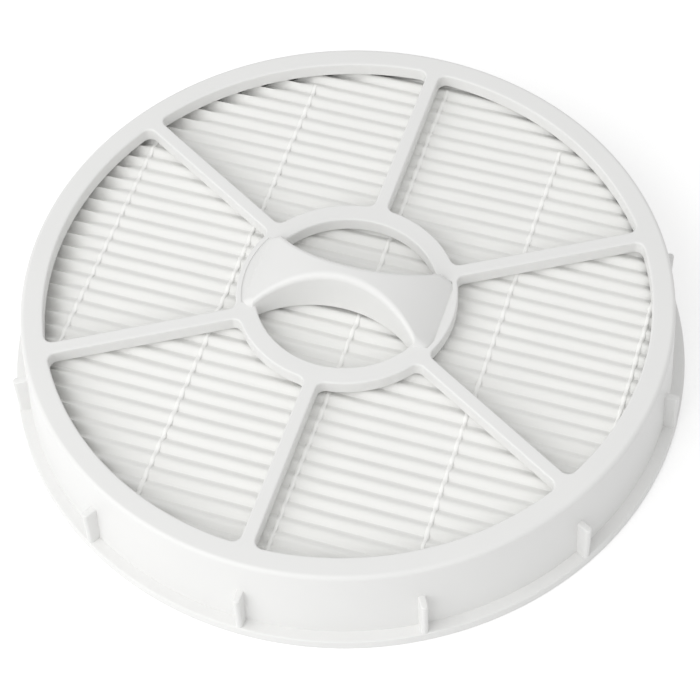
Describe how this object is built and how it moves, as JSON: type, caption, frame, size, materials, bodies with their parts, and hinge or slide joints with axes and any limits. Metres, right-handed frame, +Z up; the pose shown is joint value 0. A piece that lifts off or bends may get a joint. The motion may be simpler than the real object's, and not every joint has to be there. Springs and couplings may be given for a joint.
{
  "type": "vacuum filter",
  "caption": "Round pleated vacuum filter: white moulded frame with spokes, hub ring, arched finger strap, flange with upright fins, and folded media held by glue beads.",
  "frame": {"origin": "centre of the flange's flat underside", "axes": "+Z up through the grille; the folds and the finger strap run along X, the glue beads along Y"},
  "size_m": [0.1578, 0.1578, 0.0322],
  "materials": {
    "frame_plastic": "satin moulded",
    "media": "matte non-woven",
    "glue": "semi-gloss hot melt"
  },
  "bodies": {
    "root": {"frame": "frame_plastic", "pleated_media": "media", "top_bead_1": "glue", "top_bead_2": "glue", "top_bead_3": "glue", "top_bead_4": "glue", "top_bead_5": "glue", "under_bead_1": "glue", "under_bead_2": "glue", "under_bead_3": "glue", "under_bead_4": "glue", "under_bead_5": "glue", "edge_sealant": "glue"}
  },
  "joints": []
}
